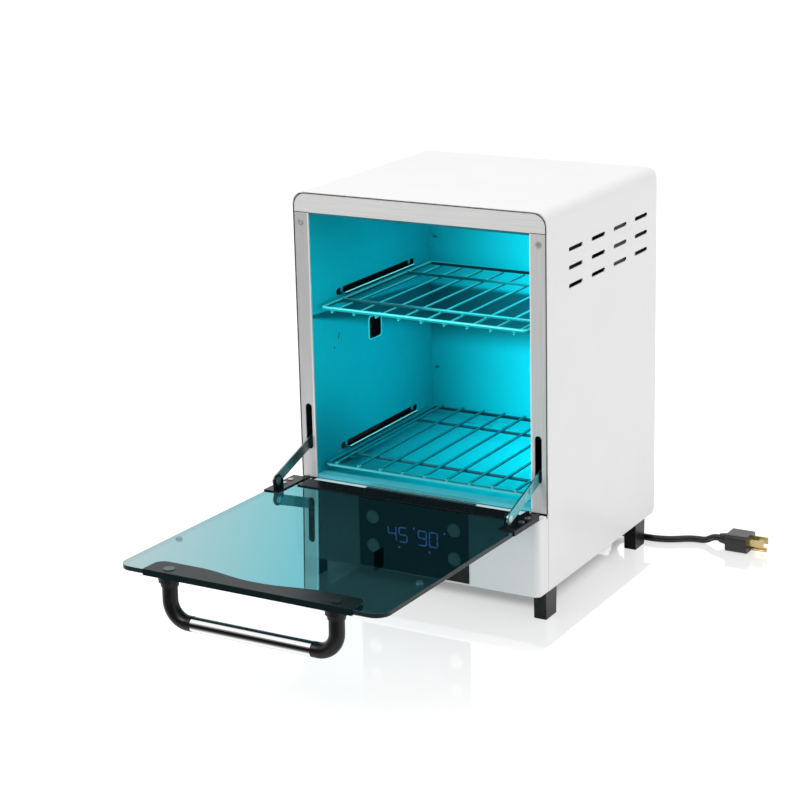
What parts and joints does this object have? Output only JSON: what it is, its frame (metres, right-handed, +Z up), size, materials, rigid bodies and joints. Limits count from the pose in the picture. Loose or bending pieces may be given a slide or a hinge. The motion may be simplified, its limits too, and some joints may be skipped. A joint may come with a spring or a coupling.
{
  "type": "uv sterilizer cabinet",
  "caption": "Counter-top UV sterilizer cabinet: white steel box with a drop-down tinted glass door on stay arms, wire racks, lit cavity and a button panel below.",
  "frame": {"origin": "at the centre of the top face of the body: 375 mm above the bench the feet stand on and 120 mm behind the steel face", "axes": "+X to the right seen from the front, -Y out of the front (the side the door opens to), +Z up; the door is open at rest"},
  "size_m": [0.3776, 0.5508, 0.375],
  "materials": {
    "white_paint": "smooth satin powder coat",
    "brushed_face": "fine brushed",
    "liner_sheet": "bright satin sheet",
    "reflector_sheet": "polished",
    "zinc_sheet": "zinc plated",
    "zinc_screw": "zinc plated",
    "stay_steel": "nickel plated",
    "rack_wire": "bright plated",
    "bright_tube": "mirror polished",
    "black_paint": "satin",
    "black_plastic": "fine moulded grain",
    "gloss_fascia": "high gloss",
    "dark_module": "matt",
    "dark_cap": "gloss",
    "button_cap": "satin",
    "display_light": "lit segments",
    "tinted_glass": "clear tinted, reflective",
    "lamp_glass": "clear quartz tube",
    "white_ceramic": "glazed white",
    "circuit_board": "solder resist",
    "heater_mica": "laminated mica",
    "red_wire": "insulated wire",
    "cord_rubber": "soft satin",
    "clear_silicone": "translucent",
    "brass_pin": "bright"
  },
  "bodies": {
    "cabinet": {"outer_housing": "white_paint", "back_panel": "white_paint", "back_screws": "zinc_screw", "base_plate": "zinc_sheet", "feet": "black_plastic", "foot_screws": "zinc_screw", "face_frame_top": "brushed_face", "face_frame_left": "brushed_face", "face_frame_right": "brushed_face", "frame_screws": "zinc_screw", "sill": "brushed_face", "front_panel": "white_paint", "control_fascia": "gloss_fascia", "display_digits": "display_light", "indicator_leds": "display_light", "display_module": "dark_module", "control_board": "circuit_board", "tact_switches": "dark_module", "power_board": "circuit_board", "lamp_ballast": "zinc_sheet", "liner_left": "liner_sheet", "liner_right": "liner_sheet", "liner_back": "liner_sheet", "liner_top": "liner_sheet", "liner_floor": "liner_sheet", "uv_lamp": "lamp_glass", "lamp_sockets": "white_ceramic", "lamp_reflector": "reflector_sheet", "lamp_guard": "rack_wire", "heater_pad": "heater_mica", "temperature_sensor": "dark_module", "thermal_fuse": "zinc_screw", "door_sensor": "dark_module", "wiring_harness": "red_wire", "strain_relief": "black_plastic", "power_cord": "cord_rubber", "plug_body": "cord_rubber", "plug_pins": "brass_pin", "hinge_pins": "zinc_screw"},
    "door": {"glass_panel": "tinted_glass", "hinge_bar": "black_paint", "hinge_bracket_left": "black_paint", "hinge_bracket_right": "black_paint", "bracket_screws": "zinc_screw", "handle_plate": "black_paint", "handle_elbow_left": "black_plastic", "handle_elbow_right": "black_plastic", "handle_tube": "bright_tube", "handle_screws": "dark_cap", "door_bumpers": "clear_silicone", "pivot_rivets": "zinc_screw"},
    "stay_left": {"arm_left": "stay_steel"},
    "stay_right": {"arm_right": "stay_steel"},
    "upper_rack": {"rack_upper": "rack_wire"},
    "lower_rack": {"rack_lower": "rack_wire"},
    "key_upper_left": {"button_upper_left": "button_cap"},
    "key_lower_left": {"button_lower_left": "button_cap"},
    "key_upper_right": {"button_upper_right": "button_cap"},
    "key_lower_right": {"button_lower_right": "button_cap"}
  },
  "joints": [
    {"name": "door_hinge", "type": "hinge", "parent": "cabinet", "child": "door", "pos_m": [0, -0.132, -0.281], "axis": [-1, 0, 0], "range_deg": [0, 88.7]},
    {"name": "stay_left_pivot", "type": "hinge", "parent": "door", "child": "stay_left", "pos_m": [-0.1203, -0.17906, -0.26093], "axis": [-1, 0, 0], "range_deg": [-74.5, 1]},
    {"name": "stay_right_pivot", "type": "hinge", "parent": "door", "child": "stay_right", "pos_m": [0.1203, -0.17906, -0.26093], "axis": [-1, 0, 0], "range_deg": [-74.5, 1]},
    {"name": "upper_rack_slide", "type": "slide", "parent": "cabinet", "child": "upper_rack", "axis": [0, 1, 0], "range_m": [-0.15, 0]},
    {"name": "lower_rack_slide", "type": "slide", "parent": "cabinet", "child": "lower_rack", "axis": [0, 1, 0], "range_m": [-0.15, 0]},
    {"name": "key_upper_left_press", "type": "slide", "parent": "cabinet", "child": "key_upper_left", "axis": [0, 1, 0], "range_m": [0, 0.0008], "stiffness_N_per_m": 600},
    {"name": "key_lower_left_press", "type": "slide", "parent": "cabinet", "child": "key_lower_left", "axis": [0, 1, 0], "range_m": [0, 0.0008], "stiffness_N_per_m": 600},
    {"name": "key_upper_right_press", "type": "slide", "parent": "cabinet", "child": "key_upper_right", "axis": [0, 1, 0], "range_m": [0, 0.0008], "stiffness_N_per_m": 600},
    {"name": "key_lower_right_press", "type": "slide", "parent": "cabinet", "child": "key_lower_right", "axis": [0, 1, 0], "range_m": [0, 0.0008], "stiffness_N_per_m": 600}
  ],
  "couplings": [
    {"joint": "stay_left_pivot", "follows": "door_hinge", "ratio": -0.8253},
    {"joint": "stay_right_pivot", "follows": "door_hinge", "ratio": -0.8253}
  ]
}
